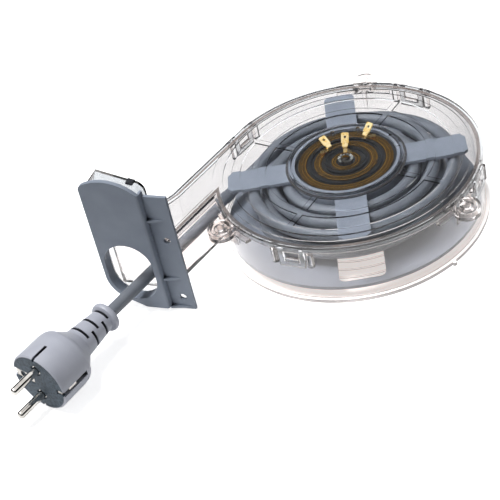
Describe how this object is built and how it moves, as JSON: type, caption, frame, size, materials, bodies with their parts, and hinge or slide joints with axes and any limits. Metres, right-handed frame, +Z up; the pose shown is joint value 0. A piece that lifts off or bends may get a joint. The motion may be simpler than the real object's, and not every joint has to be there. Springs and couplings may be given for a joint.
{
  "type": "spring rewind cord reel",
  "caption": "Flat round spring reel in a clear housing: a drum of grey mains cord with slip rings, a side duct, an arched exit plate and a round moulded plug.",
  "frame": {"origin": "on the drum's axis, at the underside of the housing", "axes": "+Z up along the drum's axis, through the slip rings; the duct and plug lie towards -X and -Y"},
  "size_m": [0.294, 0.2077, 0.0946],
  "materials": {
    "clear_polycarbonate": "clear",
    "grey_plate": "satin",
    "grey_drum": "satin",
    "dark_insulator": "matte",
    "brass": "polished",
    "steel": "ground",
    "spring_steel": "blued",
    "white_acetal": "satin",
    "cord_grey": "satin",
    "plug_grey": "satin",
    "plug_face_grey": "matte",
    "nickel": "bright",
    "bronze": "satin"
  },
  "bodies": {
    "housing": {"housing_base": "clear_polycarbonate", "housing_cover": "clear_polycarbonate", "mouth_box": "clear_polycarbonate", "exit_plate": "grey_plate", "exit_sleeve": "grey_plate", "plate_clip": "spring_steel", "axle": "steel", "spring_arbor": "grey_drum", "latch_ring": "white_acetal", "contact_carrier": "clear_polycarbonate", "contact_middle": "brass", "contact_inner": "brass", "contact_outer": "brass", "duct_cord": "cord_grey", "free_cord": "cord_grey", "strain_relief": "plug_grey", "plug_body": "plug_grey", "plug_face": "plug_face_grey", "plug_pins": "nickel", "earth_clips": "bronze"},
    "drum": {"drum_hub": "grey_drum", "drum_flange": "grey_drum", "lower_bush": "white_acetal", "upper_bush": "white_acetal", "slip_ring_carrier": "dark_insulator", "slip_ring_outer": "brass", "slip_ring_middle": "brass", "slip_ring_inner": "brass", "ring_leads": "dark_insulator", "pawl_pin": "steel", "pawl_spring": "spring_steel", "cord_winding": "cord_grey", "winding_core": "cord_grey", "cord_clamp": "grey_drum", "rewind_spring": "spring_steel"},
    "pawl": {"latch_pawl": "white_acetal"}
  },
  "joints": [
    {"name": "drum_spin", "type": "hinge", "parent": "housing", "child": "drum", "pos_m": [0, 0, 0], "axis": [0, 0, 1], "range_deg": [0, 5700], "stiffness_Nm_per_rad": 0.003, "springref_deg": -1432.39, "deforming": ["duct_cord", "rewind_spring"]},
    {"name": "pawl_swing", "type": "hinge", "parent": "drum", "child": "pawl", "pos_m": [-0.00161, 0.02922, 0.0051], "axis": [0, 0, 1], "range_deg": [-17, 0], "stiffness_Nm_per_rad": 0.002, "deforming": ["pawl_spring"]}
  ]
}
